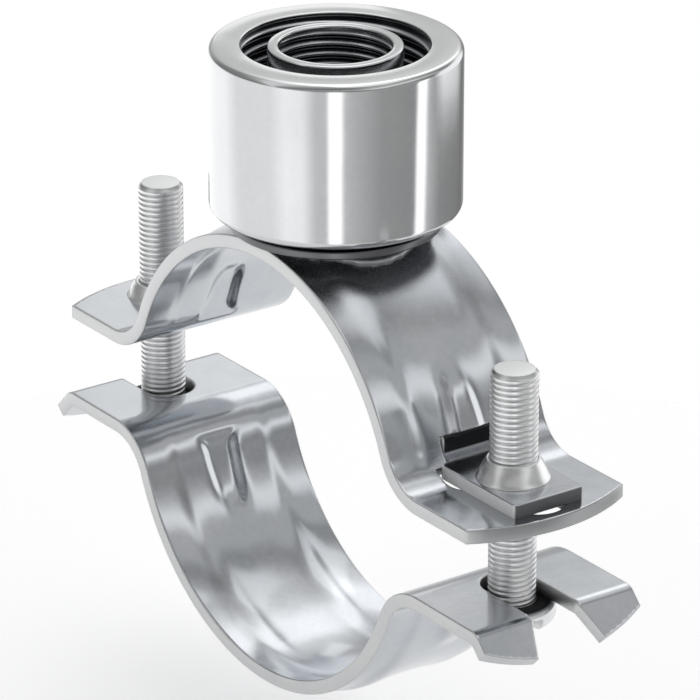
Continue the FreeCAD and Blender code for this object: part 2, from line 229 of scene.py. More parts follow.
class Strip:
    """The strip's middle skin from the crown outwards on one side, as arcs and straights.
    Places on it are a run along the strip and a y across it."""

    def __init__(self, lip=None):
        self.parts = [(crown_run, -1 / (pipe_radius + middle)), (bend_run, 1 / (bend_radius + middle))]
        self.lip_start = self.lip_end = math.inf
        if lip:
            fold, angle, inner_radius = lip
            radius = inner_radius + middle
            self.lip_start = ear_run + fold - (inner_radius + sheet) * math.tan(angle / 2) - bend_x
            self.lip_end = self.lip_start + radius * angle
            self.parts += [(self.lip_start - ear_run, 0.0), (radius * angle, 1 / radius)]
        self.parts.append((longest_ear, 0.0))

    def at(self, run):
        """x, z and the outward normal's x, z of the middle skin, for an array of runs of either sign."""
        side, run = np.where(run < 0, -1.0, 1.0), np.abs(run)
        x, z = np.zeros_like(run), np.full_like(run, pipe_radius + middle)
        turn = np.zeros_like(run)
        start, base_x, base_z, base_turn = 0.0, 0.0, pipe_radius + middle, 0.0
        for length, bend in self.parts:
            inside = run >= start - 1e-9
            along = np.clip(run - start, 0, length)
            if bend:
                part_turn = base_turn + along * bend
                part_x = base_x + (np.sin(part_turn) - math.sin(base_turn)) / bend
                part_z = base_z - (np.cos(part_turn) - math.cos(base_turn)) / bend
            else:
                part_turn = np.full_like(run, base_turn)
                part_x = base_x + along * math.cos(base_turn)
                part_z = base_z + along * math.sin(base_turn)
            x, z, turn = (np.where(inside, new, old)
                          for new, old in ((part_x, x), (part_z, z), (part_turn, turn)))
            end_turn = base_turn + length * bend
            if bend:
                base_x += (math.sin(end_turn) - math.sin(base_turn)) / bend
                base_z -= (math.cos(end_turn) - math.cos(base_turn)) / bend
            else:
                base_x += length * math.cos(base_turn)
                base_z += length * math.sin(base_turn)
            base_turn, start = end_turn, start + length
        return side * x, z, -side * np.sin(turn), np.cos(turn)


def smooth_most(a, b, soft):
    """The larger of two heights, with the corner between them rounded over."""
    blend = np.clip(0.5 + 0.5 * (a - b) / soft, 0, 1)
    return b + (a - b) * blend + soft * blend * (1 - blend)


def smooth_least(a, b, soft):
    return -smooth_most(-a, -b, soft)


# The double rib: two ridges and the valley between them, each an arc round its own centre, which lies
# under the pipe's, so that they stand highest at the crown and run out at their own angles from it
rib_height, rib_ridge, rib_slope = 1.9, 8.6, 0.42
ridge_round, rib_foot_round = 1.3, 1.7
ridge_out, valley_out = math.radians(56), math.radians(39)
crown_gap = rib_height + band_outer * (1 - math.cos(ridge_out))
rib_shift = (rib_height ** 2 + 2 * band_outer * rib_height) / (2 * crown_gap)
ridge_ring = band_outer + rib_height - rib_shift
valley_ring = math.sqrt(band_outer ** 2 + rib_shift ** 2
                        - 2 * band_outer * rib_shift * math.cos(valley_out))
# The gusset: a crest that widens towards the bend, with an upright face there and a low skirt
gusset_face, gusset_rise, gusset_start, gusset_end = 38.4, 1.0, math.radians(47.5), math.radians(57)
gusset_crest, crest_gain, crest_turn, gusset_flank = 1.0, 0.9, 0.33, 2.5
skirt_rise, skirt_edge, gusset_stop, gusset_fade = 0.35, 8.8, 0.5, 2.5
# The flat panel between the ribs, which fades out before the bend
panel_rise, panel_edge, panel_flank, panel_stop, panel_fade = 0.5, 9.9, 1.8, 3.5, 9.0


def eased(value):
    """From 0 to 1, with a soft start and a soft end."""
    value = np.clip(value, 0, 1)
    return value * value * (3 - 2 * value)


def sloped(value, soft):
    """From 0 to 1 as a straight slope with rounded ends."""
    return smooth_least(smooth_most(value, np.zeros_like(value), soft), np.ones_like(value), soft)


def pressed_height(strip, run, y):
    """How far the sheet is pressed outwards at each place."""
    x, _, nx, _ = strip.at(run)
    nx = np.abs(nx) * np.sign(nx * x)
    outer_x = np.abs(x) + nx * middle
    run, far = np.abs(run), np.abs(y)
    turn = run / (pipe_radius + middle)
    past_ridge, past_rib, least_slope = 0.35, -5.0, 0.2

    def ring_rise(ring):
        angle = np.minimum(turn, ridge_out + past_ridge)
        outwards = np.sqrt(ring ** 2 - (rib_shift * np.sin(angle)) ** 2)
        return rib_shift * np.cos(angle) + outwards - band_outer
    ridge, valley = ring_rise(ridge_ring), ring_rise(valley_ring)
    trough = valley + (ridge - valley) * np.minimum(far / rib_ridge, 1.2) ** 2
    rib = smooth_least(trough, ridge + (rib_ridge - far) * rib_slope, ridge_round)
    rib = np.where(run > crown_run, past_rib, rib)

    upright = (gusset_face - outer_x) / np.maximum(nx, least_slope)
    begun = sloped((turn - gusset_start) / (gusset_end - gusset_start), soft=0.3)
    crest = gusset_crest + crest_gain * np.clip((turn - gusset_start) / crest_turn, 0, 1)
    steep = gusset_rise * sloped((crest + gusset_flank - far) / gusset_flank, soft=0.22)
    gentle = skirt_rise * eased((skirt_edge - far) / (skirt_edge - gusset_crest))
    gusset = smooth_least(upright, (steep + gentle) * begun, soft=0.5)
    gusset = smooth_most(gusset, np.zeros_like(rib), soft=0.3)
    gusset = gusset * eased((ear_run - gusset_stop - run) / gusset_fade)

    panel = panel_rise * eased((ear_run - panel_stop - run) / panel_fade) \
        * sloped((panel_edge - far) / panel_flank + 0.5, soft=0.2)
    raised = smooth_most(rib, np.zeros_like(rib), rib_foot_round)
    raised = smooth_most(raised, panel, soft=0.5)
    return smooth_most(raised, gusset, soft=0.4)


def sheet_skin(strip, run, y, depth, sign):
    """Points of the formed sheet, at a depth below its outer skin. Sign is -1 on the lower half."""
    x, z, nx, nz = strip.at(run)
    rise = pressed_height(strip, run, y) + middle - depth
    return np.stack([x + nx * rise, y, (z + nz * rise) * sign], -1) * MM


outline_spacing = 0.45


def arc_points(centre, radius, start, end):
    count = max(3, int(abs(end - start) * radius / outline_spacing) + 1)
    return [(centre[0] + radius * math.cos(start + (end - start) * i / count),
             centre[1] + radius * math.sin(start + (end - start) * i / count)) for i in range(count + 1)]


def filled_out(corners):
    """A closed outline with points added where its corners lie farther apart than the spacing."""
    points = []
    for (ax, ay), (bx, by) in zip(corners, corners[1:] + corners[:1]):
        count = max(1, int(math.hypot(bx - ax, by - ay) / outline_spacing))
        points += [(ax + (bx - ax) * i / count, ay + (by - ay) * i / count) for i in range(count)]
    return np.array(points)


def set_in(outline, amount):
    """The outline moved towards the metal, which lies on its left."""
    before, after = np.roll(outline, 1, 0), np.roll(outline, -1, 0)
    first, second = outline - before, after - outline
    first /= np.linalg.norm(first, axis=1, keepdims=True)
    second /= np.linalg.norm(second, axis=1, keepdims=True)
    inward = np.stack([-(first + second)[:, 1], (first + second)[:, 0]], 1)
    inward /= np.linalg.norm(inward, axis=1, keepdims=True)
    lean = np.maximum((inward * np.stack([-second[:, 1], second[:, 0]], 1)).sum(1), 0.5)
    return outline + inward * (amount / lean)[:, None]


def inside(outline, points):
    """Which points lie within a closed outline."""
    x, y = points[:, 0], points[:, 1]
    hit = np.zeros(len(points), bool)
    ax, ay = outline[-1]
    for bx, by in outline:
        crosses = (ay > y) != (by > y)
        if by != ay:
            hit ^= crosses & (x < (bx - ax) * (y - ay) / (by - ay) + ax)
        ax, ay = bx, by
    return hit


def signed_area(outline):
    x, y = outline[:, 0], outline[:, 1]
    return 0.5 * float(np.sum(x * np.roll(y, -1) - np.roll(x, -1) * y))


def formed_sheet(name, strip, sign, border, holes):
    """A sheet part: the flat blank with its openings is meshed once, and both skins and the
    rounded cut edges take their places from it."""
    edge_round, rim_gap, batch = 0.22, 0.22, 4000
    spacing, lip_spacing, lip_margin = 0.5, 0.16, 0.3
    loops = [border if signed_area(border) > 0 else border[::-1]]
    loops += [hole if signed_area(hole) < 0 else hole[::-1] for hole in holes]
    rims = [set_in(loop, edge_round) for loop in loops]
    runs, reach = [], max(abs(border[:, 0].min()), border[:, 0].max())
    place = 0.0
    while place < reach:
        runs.append(place)
        lip = strip.lip_start - lip_margin < place < strip.lip_end + lip_margin
        place += lip_spacing if lip else spacing
    runs = np.array(sorted({-r for r in runs} | set(runs)))
    across = np.arange(-half_width, half_width + spacing / 2, spacing)
    grid = np.stack(np.meshgrid(runs, across, indexing="ij"), -1).reshape(-1, 2)
    keep = inside(rims[0], grid)
    for rim in rims[1:]:
        keep &= ~inside(rim, grid)
    grid = grid[keep]
    clear = np.ones(len(grid), bool)
    for rim in rims:
        for first in range(0, len(grid), batch):
            gap = grid[first:first + batch, None, :] - rim[None, :, :]
            clear[first:first + batch] &= (gap ** 2).sum(-1).min(1) > rim_gap ** 2
    grid = grid[clear]
    points, sides, starts = [tuple(p) for p in grid], [], []
    for rim in rims:
        starts.append(len(points))
        sides += [(len(points) + i, len(points) + (i + 1) % len(rim)) for i in range(len(rim))]
        points += [tuple(p) for p in rim]
    made, _, faces, origins, _, _ = delaunay_2d_cdt([Vector(p) for p in points], sides, [], 1, 1e-6)
    flat = np.array([tuple(v) for v in made])
    number = {source: i for i, sources in enumerate(origins) for source in sources}
    triangles = np.array([tuple(f) for f in faces])
    centres = flat[triangles].mean(1)
    keep = inside(rims[0], centres)
    for rim in rims[1:]:
        keep &= ~inside(rim, centres)
    triangles = triangles[keep]

    count = len(flat)
    upper = sheet_skin(strip, flat[:, 0], flat[:, 1], np.zeros(count), sign)
    lower = sheet_skin(strip, flat[:, 0], flat[:, 1], np.full(count, sheet), sign)
    vertices, faces = [upper, lower], []
    for a, b, c in triangles:
        faces += [(a, b, c), (c + count, b + count, a + count)] if sign > 0 \
            else [(c, b, a), (a + count, b + count, c + count)]
    finish = [0] * len(faces)
    total = 2 * count
    for loop, rim, start in zip(loops, rims, starts):
        top = [number[start + i] for i in range(len(rim))]
        rows = [top]
        inward = rim - loop
        for step in (30, 60, 90, -90, -60, -30):
            bend = math.radians(abs(step))
            depth = edge_round * (1 - math.cos(bend))
            depth = depth if step > 0 else sheet - depth
            place = loop + inward * (1 - math.sin(bend))
            vertices.append(sheet_skin(strip, place[:, 0], place[:, 1], np.full(len(loop), depth), sign))
            rows.append([total + i for i in range(len(loop))])
            total += len(loop)
        rows.append([i + count for i in top])
        for row, below in zip(rows, rows[1:]):
            for i in range(len(row)):
                j = (i + 1) % len(row)
                quad = (row[i], below[i], below[j], row[j])
                faces.append(quad if sign > 0 else quad[::-1])
                finish.append(1 if loop is loops[0] else 2)
    mesh = bpy.data.meshes.new(name)
    mesh.from_pydata(np.concatenate(vertices).tolist(), [], faces)
    for material in (zinc_sheet, zinc_edge, punched_edge_shade):
        mesh.materials.append(material)
    mesh.polygons.foreach_set("material_index", finish)
    mesh.polygons.foreach_set("use_smooth", [True] * len(faces))
    return placed(name, mesh)


def run_at(x):
    """Run along the strip of a place on the ear or on its bend, from the centre plane's distance."""
    if x >= bend_x:
        return ear_run + x - bend_x
    radius = bend_radius + middle
    return crown_run + (math.acos((bend_x - x) / radius) - bend_angle) * radius


def bow_radius(bulge):
    """The radius of an end that bulges by this much over the strip's width."""
    return (half_width ** 2 + bulge ** 2) / (2 * bulge)


def turned_round(points):
    """The same outline at the strip's other end."""
    return [(-x, -y) for x, y in points]


upper_strip = Strip()
ear_corner, ear_bulge = 58.0, 4.2
ear_bow = bow_radius(ear_bulge)
bow_turn = math.asin(half_width / ear_bow)
ear_end = arc_points((run_at(ear_corner) + ear_bulge - ear_bow, 0), ear_bow, -bow_turn, bow_turn)
border = filled_out(ear_end + turned_round(ear_end))

# The right ear's opening: a window in the wall for the tongue, a round entry, and the screw's track
window, entry_foot, entry_x, entry_radius, track, track_end = 5.4, 38.6, 40.8, 7.9, 4.7, 60.3
window_turn, collar_hole = math.radians(90 - 22.9), 4.3
window_run = window_turn * (pipe_radius + middle)
foot_run = run_at(entry_foot)
round_turn = math.atan2(track, math.sqrt(entry_radius ** 2 - track ** 2))
right_opening = filled_out(
    [(window_run, -window), (foot_run, -window), (foot_run, -entry_radius)]
    + arc_points((run_at(entry_x), 0), entry_radius, -math.pi / 2, -round_turn)
    + arc_points((run_at(track_end - track), 0), track, -math.pi / 2, math.pi / 2)
    + arc_points((run_at(entry_x), 0), entry_radius, round_turn, math.pi / 2)
    + [(foot_run, entry_radius), (foot_run, window), (window_run, window)])
left_hole = filled_out(arc_points((-run_at(-screw_left), 0), collar_hole, 0, 2 * math.pi)[:-1])
upper_band = formed_sheet("upper_half_band", upper_strip, 1, border, [right_opening, left_hole])


def lathe(name, outline, material, centre_x=0.0, steps=None, closed=True):
    """A turned solid from its half outline of (radius, height) in millimetres."""
    steps = steps or (160)
    vertices, faces, rings = [], [], []
    for radius, height in outline:
        if not radius:
            rings.append([len(vertices)])
            vertices.append((centre_x * MM, 0.0, height * MM))
            continue
        rings.append(list(range(len(vertices), len(vertices) + steps)))
        for i in range(steps):
            turn = 2 * math.pi * i / steps
            vertices.append(((centre_x + radius * math.cos(turn)) * MM, radius * math.sin(turn) * MM,
                             height * MM))
    for low, high in zip(rings, rings[1:] + rings[:1] if closed else rings[1:]):
        for i in range(steps):
            j = (i + 1) % steps
            if len(low) == 1:
                faces.append((low[0], high[j], high[i]))
            elif len(high) == 1:
                faces.append((low[i], low[j], high[0]))
            else:
                faces.append((low[i], low[j], high[j], high[i]))
    mesh = bpy.data.meshes.new(name)
    mesh.from_pydata(vertices, [], faces)
    mesh.polygons.foreach_set("use_smooth", [True] * len(faces))
    mesh.materials.append(material)
    return placed(name, mesh)


def joined(name, *pieces):
    """Several meshes made one piece, with their materials."""
    mesh = bmesh.new()
    materials = []
    for piece in pieces:
        numbers = {}
        for i, material in enumerate(piece.data.materials):
            if material not in materials:
                materials.append(material)
            numbers[i] = materials.index(material)
        start = len(mesh.faces)
        mesh.from_mesh(piece.data)
        mesh.faces.ensure_lookup_table()
        for face in mesh.faces[start:]:
            face.material_index = numbers.get(face.material_index, 0)
    data = bpy.data.meshes.new(name)
    mesh.to_mesh(data)
    mesh.free()
    for material in materials:
        data.materials.append(material)
    for piece in pieces:
        bpy.data.objects.remove(piece)
    return placed(name, data)


def collar(name, x, base, height, foot, top, hole):
    """A drawn collar: from a small fillet at its foot its side bulges up to a thin mouth."""
    sunk, mouth_fall, slices, bulge, fillet, fillet_bend = 0.6, 0.25, 12, 1.5, 0.3, 8
    outline = [(hole + 0.35, base - sunk), (foot - 0.1, base - sunk)]
    for i in range(slices + 1):
        up = i / slices
        outline.append((top + (foot - top) * (1 - up ** bulge) + fillet * (1 - up) ** fillet_bend,
                        base + 0.005 + (height - mouth_fall) * up))
    mouth = base + height
    outline += [(top - 0.08, mouth - 0.07), (top - 0.22, mouth), (hole + 0.12, mouth), (hole, mouth - 0.12),
                (hole, base - 0.4)]
    return lathe(name, outline, zinc_collar, x, steps=96)


zinc_collar = metal("zinc_collar", (0.72, 0.725, 0.73), (0.84, 0.845, 0.85),
                    roughness=0.30, haze=0.14, waves=0.08, grain=0.004)
ear_collar = collar("ear_collar", screw_left, ear_face + sheet, height=3.0, foot=6.05, top=4.8, hole=4.0)
upper_band = joined("upper_half_band", upper_band, ear_collar)
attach(upper_band, "upper_half")
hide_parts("upper_band")


# Lower half band: the same strip with a forked ear at each end, so that it lifts off the screws.
# The fork's prongs end in lips bent downwards, which centre the screws' heads.
lip_angle, lip_hollow, fork, mouth_flare, lip_bulge = math.radians(45), 0.45, 4.65, 2.1, 4.0


class TwoLips(Strip):
    """The lower strip, whose folds lie at different distances left and right."""

    def __init__(self, left, right):
        self.left, self.right = Strip((left, lip_angle, lip_hollow)), Strip((right, lip_angle, lip_hollow))
        self.lip_start = min(self.left.lip_start, self.right.lip_start)
        self.lip_end = max(self.left.lip_end, self.right.lip_end)

    def at(self, run):
        return tuple(np.where(run < 0, a, b) for a, b in zip(self.left.at(run), self.right.at(run)))


def forked_end(strip, slot_end, lip_length):
    """The end of a forked ear: a bowed lip, with the slot let in between the prongs."""
    edge = strip.lip_end + lip_length - (lip_hollow + sheet) * math.tan(lip_angle / 2)
    radius = bow_radius(lip_bulge)
    centre = (edge + lip_bulge - radius, 0)
    corner_turn, mouth_turn = math.asin(half_width / radius), math.asin((fork + mouth_flare) / radius)
    fold = (strip.lip_start + strip.lip_end) / 2
    slot = arc_points((run_at(slot_end + fork), 0), fork, -math.pi / 2, -3 * math.pi / 2)
    return arc_points(centre, radius, -corner_turn, -mouth_turn) + [(fold, -fork)] + slot \
        + [(fold, fork)] + arc_points(centre, radius, mouth_turn, corner_turn)


lower_strip = TwoLips(left=59.8, right=60.8)
right_end = forked_end(lower_strip.right, slot_end=44.0, lip_length=3.9)
left_end = turned_round(forked_end(lower_strip.left, slot_end=47.0, lip_length=5.5))
lower_band = formed_sheet("lower_half_band", lower_strip, -1, filled_out(right_end + left_end), [])
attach(lower_band, "lower_half")
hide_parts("lower_band")


# Threads: a ridge wound round a cylinder. One tree makes them all, inside and outside, as a sheet of
# points laid along the helix, so that crest and root stay sharp, with flat ends.
rows_per_turn, spare_turns = 8, 2


def thread_tree():
    tree = bpy.data.node_groups.new("wound_thread", "GeometryNodeTree")
    face = tree.interface
    face.new_socket("Geometry", in_out="OUTPUT", socket_type="NodeSocketGeometry")
    kinds = dict.fromkeys(("Radius", "Depth", "Pitch", "Length", "Fade", "Chamfer", "Crest"), "Float")
    kinds |= {"Steps": "Int", "Rows": "Int", "Base": "Vector", "Material": "Material"}
    for name, kind in kinds.items():
        face.new_socket(name, in_out="INPUT", socket_type="NodeSocket" + kind)
    nodes = Tree(tree)
    given = tree.nodes.new("NodeGroupInput")

    def take(name):
        return Value(given.outputs[name])

    steps, rows = take("Steps"), take("Rows")
    grid = nodes.add("GeometryNodeMeshGrid", None, {"Size X": 1.0, "Size Y": 1.0,
                                                    "Vertices X": steps + 1.0, "Vertices Y": rows + 1.0})
    index = nodes.add("GeometryNodeInputIndex")
    column = (index / (rows + 1.0)).math("FLOOR")
    row = index - column * (rows + 1.0)
    turn = column / steps
    length, crest, root = take("Length"), take("Crest"), 0.88
    height = (row / rows_per_turn + turn - spare_turns) * take("Pitch")
    from_crest = ((row / rows_per_turn).math("FRACT") - 0.5).math("ABSOLUTE") * 2.0
    profile = ((from_crest - crest) / (root - crest)).held()
    grown = (height.math("MINIMUM", length - height) / take("Fade")).held()
    radius = take("Radius") - profile * take("Depth") * grown
    end_radius = take("Radius") - take("Chamfer")
    outside = height.math("LESS_THAN", 0.0) + height.math("GREATER_THAN", length)
    radius = radius.math("MINIMUM", end_radius + (length - height).math("MAXIMUM", 0.0))
    radius = radius * (1.0 - outside) + end_radius * outside
    height = height.math("MAXIMUM", 0.0).math("MINIMUM", length)
    spin = turn * (2 * math.pi)
    place = nodes.add("ShaderNodeCombineXYZ", None, {0: radius * spin.math("COSINE"),
                                                     1: radius * spin.math("SINE"), 2: height})
    place = nodes.add("ShaderNodeVectorMath", {"operation": "ADD"}, {0: place, 1: take("Base")})
    wound = nodes.add("GeometryNodeSetPosition", None, {"Geometry": grid, "Position": place})
    wound = nodes.add("GeometryNodeMergeByDistance", None, {"Geometry": wound, "Distance": 0.000002})
    wound = nodes.add("GeometryNodeSetShadeSmooth", None, {"Geometry": wound, "Shade Smooth": True})
    wound = nodes.add("GeometryNodeRealizeInstances", None, {"Geometry": wound})
    wound = nodes.add("GeometryNodeSetMaterial", None, {"Geometry": wound, "Material": take("Material")})
    done = tree.nodes.new("NodeGroupOutput")
    tree.links.new(wound.socket, done.inputs[0])
    return tree


threads = thread_tree()


def applied(piece, modifier):
    """Turns what a modifier makes into the piece's plain mesh."""
    bpy.context.view_layer.update()
    ready = piece.evaluated_get(bpy.context.evaluated_depsgraph_get())
    piece.data = bpy.data.meshes.new_from_object(ready)
    piece.modifiers.remove(modifier)


def wound_thread(name, radius, depth, pitch, length, base, material, fade=0.6, chamfer=0.0, crest=0.12,
                 steps=None, inward=False):
    """One thread from the tree, as a plain mesh. Sizes are in millimetres."""
    steps = steps or (72)
    piece = placed(name, bpy.data.meshes.new(name))
    modifier = piece.modifiers.new("thread", "NODES")
    modifier.node_group = threads
    values = {"Radius": radius * MM, "Depth": depth * MM, "Pitch": pitch * MM, "Length": length * MM,
              "Fade": fade * MM, "Chamfer": chamfer * MM, "Crest": crest, "Steps": steps,
              "Rows": int((length / pitch + 2 * spare_turns) * rows_per_turn),
              "Base": [v * MM for v in base], "Material": material}
    for socket in threads.interface.items_tree:
        if socket.in_out == "INPUT":
            modifier[socket.identifier] = values[socket.name]
    applied(piece, modifier)
    piece.data.materials[0] = material      # the slot that the tree leaves empty
    if inward:
        piece.data.flip_normals()
    return piece


# Connection socket: a thick turned ring with a 1 inch pipe thread inside, bright zinc plated.
# It stands on the sleeve's shoulder, a little above the band, with a gap under it that painted shade keeps
# dark.
socket_bottom, socket_height, socket_radius = 43.1, 28.6, 21.14
socket_top, socket_floor = socket_bottom + socket_height, socket_bottom + 5.0
socket_bore, socket_mouth, seat_bore = 16.5, 15.75, 11.2


def shaded_bore(tree, place, base, gloss):
    """Painted shade darkens the threads and the gap between the two rings, more with depth and least on the
    crests.
    A painted highlight lightens the top face, and painted shade darkens the seat under the ring and the
    sleeve's parts below it, which are also duller."""
    inner_reach, inner_mouth, lit_top_reach = 10.9, 10.15, 20.5
    deepest, crest_share, depth_share = 9.0, 0.4, 0.75
    x, y, z = tree.axes(place)
    radius = (x * x + y * y).math("SQRT")
    inner = radius.math("LESS_THAN", inner_reach)
    crest = (((socket_mouth - radius) / 0.35).held() * (1.0 - inner)
             + ((inner_mouth - radius) / 0.5).held() * inner)
    below_top = ((socket_top - 0.55 - z) / 0.3).held()
    # Painted shade in the threads and the gap: darker deeper down, lighter on the crests.
    depth = ((socket_top - 1.0 - z) / deepest).held()
    in_gap = radius.math("LESS_THAN", socket_bore + 0.25) * z.math("GREATER_THAN", socket_floor - 0.3)
    in_gap = (in_gap * (1.0 - inner * (1.0 - crest * crest_share)) + inner) * below_top
    tone = tree.mix(crest * (1.0 - depth * depth_share), (0.10, 0.105, 0.115), (0.64, 0.655, 0.67))
    # Painted light: the top face is made lighter.
    lit_top = ((z - socket_top + 0.3) / 0.15).held() * radius.math("LESS_THAN", lit_top_reach)
    base = tree.mix(in_gap, tree.mix(lit_top * 0.75, base, (0.86, 0.865, 0.87)), tone)
    # Painted shade under the ring, on the socket's underside and on the sleeve's neck, flange and foot.
    seat_shade = ((socket_bottom + 0.12 - z) / 0.1).held()
    return tree.mix(seat_shade, base, (0.15, 0.152, 0.156)), gloss + seat_shade * 0.2 + in_gap * 0.12


def rounded(corners, radii, steps):
    """An outline of (radius, height) whose corners are rounded by the given radii."""
    points = []
    count = len(corners)
    for i, (corner, radius) in enumerate(zip(corners, radii)):
        here = Vector(corner)
        before, after = Vector(corners[i - 1]) - here, Vector(corners[(i + 1) % count]) - here
        if not radius:
            points.append(tuple(here))
            continue
        before.normalize(), after.normalize()
        half = before.angle(after) / 2
        cut = radius / math.tan(half)
        centre = here + (before + after).normalized() * (radius / math.sin(half))
        start, end = here + before * cut - centre, here + after * cut - centre
        turn = start.angle_signed(end)
        for k in range(steps + 1):
            a = -turn * k / steps
            points.append((centre.x + start.x * math.cos(a) - start.y * math.sin(a),
                           centre.y + start.x * math.sin(a) + start.y * math.cos(a)))
    return points


zinc_turned = metal("zinc_turned", (0.58, 0.59, 0.60), (0.64, 0.645, 0.65),
                    roughness=0.11, haze=0.05, waves=0.03, grain=0.001, extra=shaded_bore)
shell = lathe("socket_shell", rounded(
    [(seat_bore, socket_bottom), (socket_radius, socket_bottom), (socket_radius, socket_top),
     (socket_mouth, socket_top), (socket_mouth, socket_top - 0.7), (socket_bore, socket_top - 1.0),
     (socket_bore, socket_floor), (seat_bore, socket_floor)],
    [0, 1.6, 1.2, 0.2, 0, 0, 0, 0], steps=8), zinc_turned)
outer_thread = wound_thread("outer_thread", radius=16.6, depth=1.45, pitch=2.309, length=socket_height - 5.9,
                            base=(0, 0, socket_floor), material=zinc_turned,
                            steps=128, inward=True)
connection_socket = joined("connection_socket_ring", shell, outer_thread)
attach(connection_socket, "upper_half")
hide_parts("connection_socket")


# Inner sleeve: a turned tube with a half inch pipe thread, standing in the socket. Its foot has a
# flange and is welded to the crown of the band.
sleeve_top = socket_top - 0.2
sleeve_floor = sleeve_top - 22.0
flange_top, flange_radius, flange = socket_bottom - 1.2, 17.9, 1.5
foot_bottom, foot_radius, neck_radius, sleeve_radius, sleeve_bore = 38.6, 13.8, 13.0, 11.25, 10.5
tube = lathe("sleeve_tube", rounded(
    [(0, foot_bottom), (foot_radius, foot_bottom), (foot_radius, flange_top - flange),
     (flange_radius, flange_top - flange), (flange_radius, flange_top), (neck_radius, flange_top),
     (neck_radius, socket_bottom), (sleeve_radius, socket_bottom), (sleeve_radius, sleeve_top),
     (9.5, sleeve_top), (9.35, sleeve_top - 0.7), (sleeve_bore - 0.1, sleeve_top - 1.2),
     (sleeve_bore, sleeve_floor), (0, sleeve_floor)],
    [0, 0, 0.3, 0.35, 0.35, 0.3, 0, 0, 0.3, 0.3, 0, 0, 0, 0], steps=4), zinc_turned, closed=False)
inner_thread = wound_thread("inner_thread", radius=10.45, depth=1.15, pitch=1.814, length=21.2,
                            base=(0, 0, sleeve_floor), material=zinc_turned, fade=0.5,
                            steps=112, inward=True)
inner_sleeve = joined("inner_sleeve_tube", tube, inner_thread)
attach(inner_sleeve, "upper_half")
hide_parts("inner_sleeve")


# Weld: a bead run once round the sleeve's foot, down both sides of the crown's saddle, plated over.
# Its tone, darker than the turned parts', is painted shade for the shadow under the flange.
zinc_weld = metal("zinc_weld", (0.36, 0.37, 0.385), (0.50, 0.505, 0.515),
                  roughness=0.36, haze=0.16, waves=0.25, grain=0.02)


def weld_bead():
    weld_leg, bead_out, bead_lift, ripples, slow_ripples = 1.28, 0.62, 0.55, 34, 21
    turns, around = ((360, 12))
    vertices, faces = [], []
    for i in range(turns):
        turn = 2 * math.pi * i / turns
        leg = weld_leg * (1 + 0.10 * math.sin(ripples * turn) + 0.05 * math.sin(slow_ripples * turn + 1))
        x, y = foot_radius * math.cos(turn), foot_radius * math.sin(turn)
        run = np.array([math.asin(x / (pipe_radius + middle)) * (pipe_radius + middle)])
        rise = float(pressed_height(upper_strip, run, np.array([y]))[0])
        level = math.sqrt((band_outer + rise) ** 2 - x * x)
        for k in range(around):
            bend = 2 * math.pi * k / around
            reach = foot_radius + math.cos(bend) * leg * bead_out + 0.15
            lift = math.sin(bend) * leg * bead_lift + 0.1
            vertices.append((reach * math.cos(turn) * MM, reach * math.sin(turn) * MM, (level + lift) * MM))
    for i in range(turns):
        for k in range(around):
            j, m = (i + 1) % turns, (k + 1) % around
            faces.append((i * around + k, j * around + k, j * around + m, i * around + m))
    mesh = bpy.data.meshes.new("weld_bead")
    mesh.from_pydata(vertices, [], faces)
    mesh.polygons.foreach_set("use_smooth", [True] * len(faces))
    mesh.materials.append(zinc_weld)
    return placed("weld_bead", mesh)


bead = weld_bead()
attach(bead, "upper_half")
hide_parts("socket_weld")


# Nut plate: a small slab of sheet with a drawn and tapped collar. Its tongue hooks into the window
# of the wall, and the right screw pulls it down on the ear.
plate_bottom, plate_top = ear_face + sheet, ear_face + sheet + 2.5
plate_half, plate_inner, plate_outer = 6.95, 38.9, 59.1
tongue_half, tongue_start, hook_start, hook_end, hook_rise = 5.1, 36.4, 36.3, 37.45, 3.7


def hook_shade_and_fold_highlight(tree, place, base, gloss):
    """Painted shade darkens the hooked end inside the band, where the wall shades it, under a painted
    highlight along the fold line.
    """
    x, _, z = tree.axes(place)
    hooked = x.math("LESS_THAN", hook_end + 0.15)
    fold = hooked * ((z - plate_top - 0.35) / 0.15).held()
    shade = hooked * ((z - plate_top - 0.8) / 0.25).held()
    return tree.mix(shade, tree.mix(fold, base, (0.62, 0.63, 0.64)), (0.03, 0.032, 0.034)), gloss


def plate_edge_with_end_shade(tree, place, base, gloss):
    """The plate's sides are bright and dull from the shears; painted shade darkens its outer end."""
    x, _, _ = tree.axes(place)
    end = ((x - plate_outer + 0.35) / 0.2).held()
    return tree.mix(end, base, (0.13, 0.133, 0.138)), gloss


zinc_plate = metal("zinc_plate", (0.42, 0.44, 0.465), (0.52, 0.535, 0.555),
                   roughness=0.16, haze=0.08, waves=0.12, grain=0.002, extra=hook_shade_and_fold_highlight)
zinc_plate_edge = metal("zinc_plate_edge", (0.80, 0.805, 0.81), (0.88, 0.88, 0.88), roughness=0.5, haze=0.12,
                        waves=0.05, grain=0.006, extra=plate_edge_with_end_shade, metallic=0.2)


